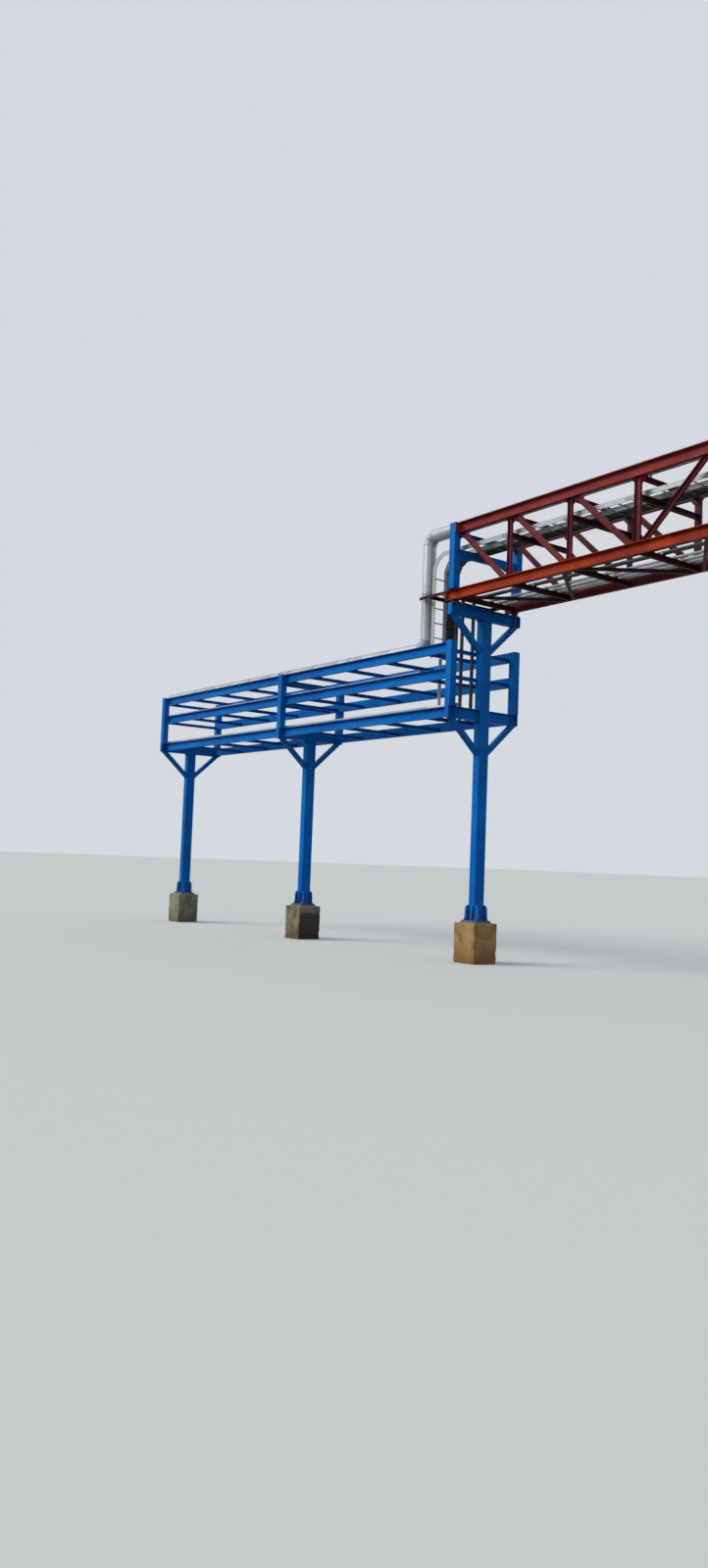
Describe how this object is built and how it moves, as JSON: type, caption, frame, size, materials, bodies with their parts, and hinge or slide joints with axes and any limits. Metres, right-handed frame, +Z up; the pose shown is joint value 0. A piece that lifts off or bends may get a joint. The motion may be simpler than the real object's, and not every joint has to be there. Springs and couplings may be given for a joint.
{
  "type": "industrial pipe bridge",
  "caption": "Steel pipe bridge on T-shaped columns: an open three-tier rack steps up to a lattice truss span that carries lagged pipes and two cable ladders",
  "frame": {"origin": "Ground level under the middle of the run, midway between the two pipe sides; the foot of the pedestals is z = 0", "axes": "+X along the run from the low rack to the end of the truss, +Y from the side shown in the picture to the far side, +Z up"},
  "size_m": [21.42, 1.87, 8.655],
  "materials": {
    "rack_paint": "semi-gloss blue enamel, weathered",
    "red_oxide": "matt red-oxide primer with rust",
    "maroon_oxide": "matt dark oxide primer",
    "concrete": "cast concrete, stained by soil",
    "cladding": "dull sheet cladding",
    "galvanised": "galvanised, dull",
    "dark_pipe": "black bitumen paint",
    "cable_sheath": "black sheath"
  },
  "bodies": {
    "root": {"arm_a": "rack_paint", "arm_b": "rack_paint", "arm_c_lower": "rack_paint", "arm_c_upper": "rack_paint", "arm_d": "rack_paint", "base_shoe_a": "rack_paint", "base_shoe_b": "rack_paint", "base_shoe_c": "rack_paint", "base_shoe_d": "rack_paint", "beams_bottom": "rack_paint", "beams_mid": "rack_paint", "beams_top": "rack_paint", "bearings": "red_oxide", "bottom_chords": "red_oxide", "cable_ladder": "galvanised", "column_a": "rack_paint", "column_b": "rack_paint", "column_c": "rack_paint", "column_d": "rack_paint", "dark_pipes": "dark_pipe", "floor_beams": "red_oxide", "floor_pipes": "cladding", "ladder_beams": "red_oxide", "main_pipe": "cladding", "pedestal_a": "concrete", "pedestal_b": "concrete", "pedestal_c": "concrete", "pedestal_d": "concrete", "plan_braces": "red_oxide", "portal_beams": "rack_paint", "portal_posts": "rack_paint", "power_cables": "cable_sheath", "rack_knees": "rack_paint", "rack_posts": "rack_paint", "riser_bracket": "red_oxide", "rungs_bottom": "rack_paint", "rungs_mid": "rack_paint", "rungs_top": "rack_paint", "tier_pipes": "cladding", "top_chords": "maroon_oxide", "top_ties": "red_oxide", "truss_diagonals": "red_oxide", "truss_gussets": "red_oxide", "truss_verticals": "red_oxide", "upper_knees": "rack_paint"}
  },
  "joints": []
}
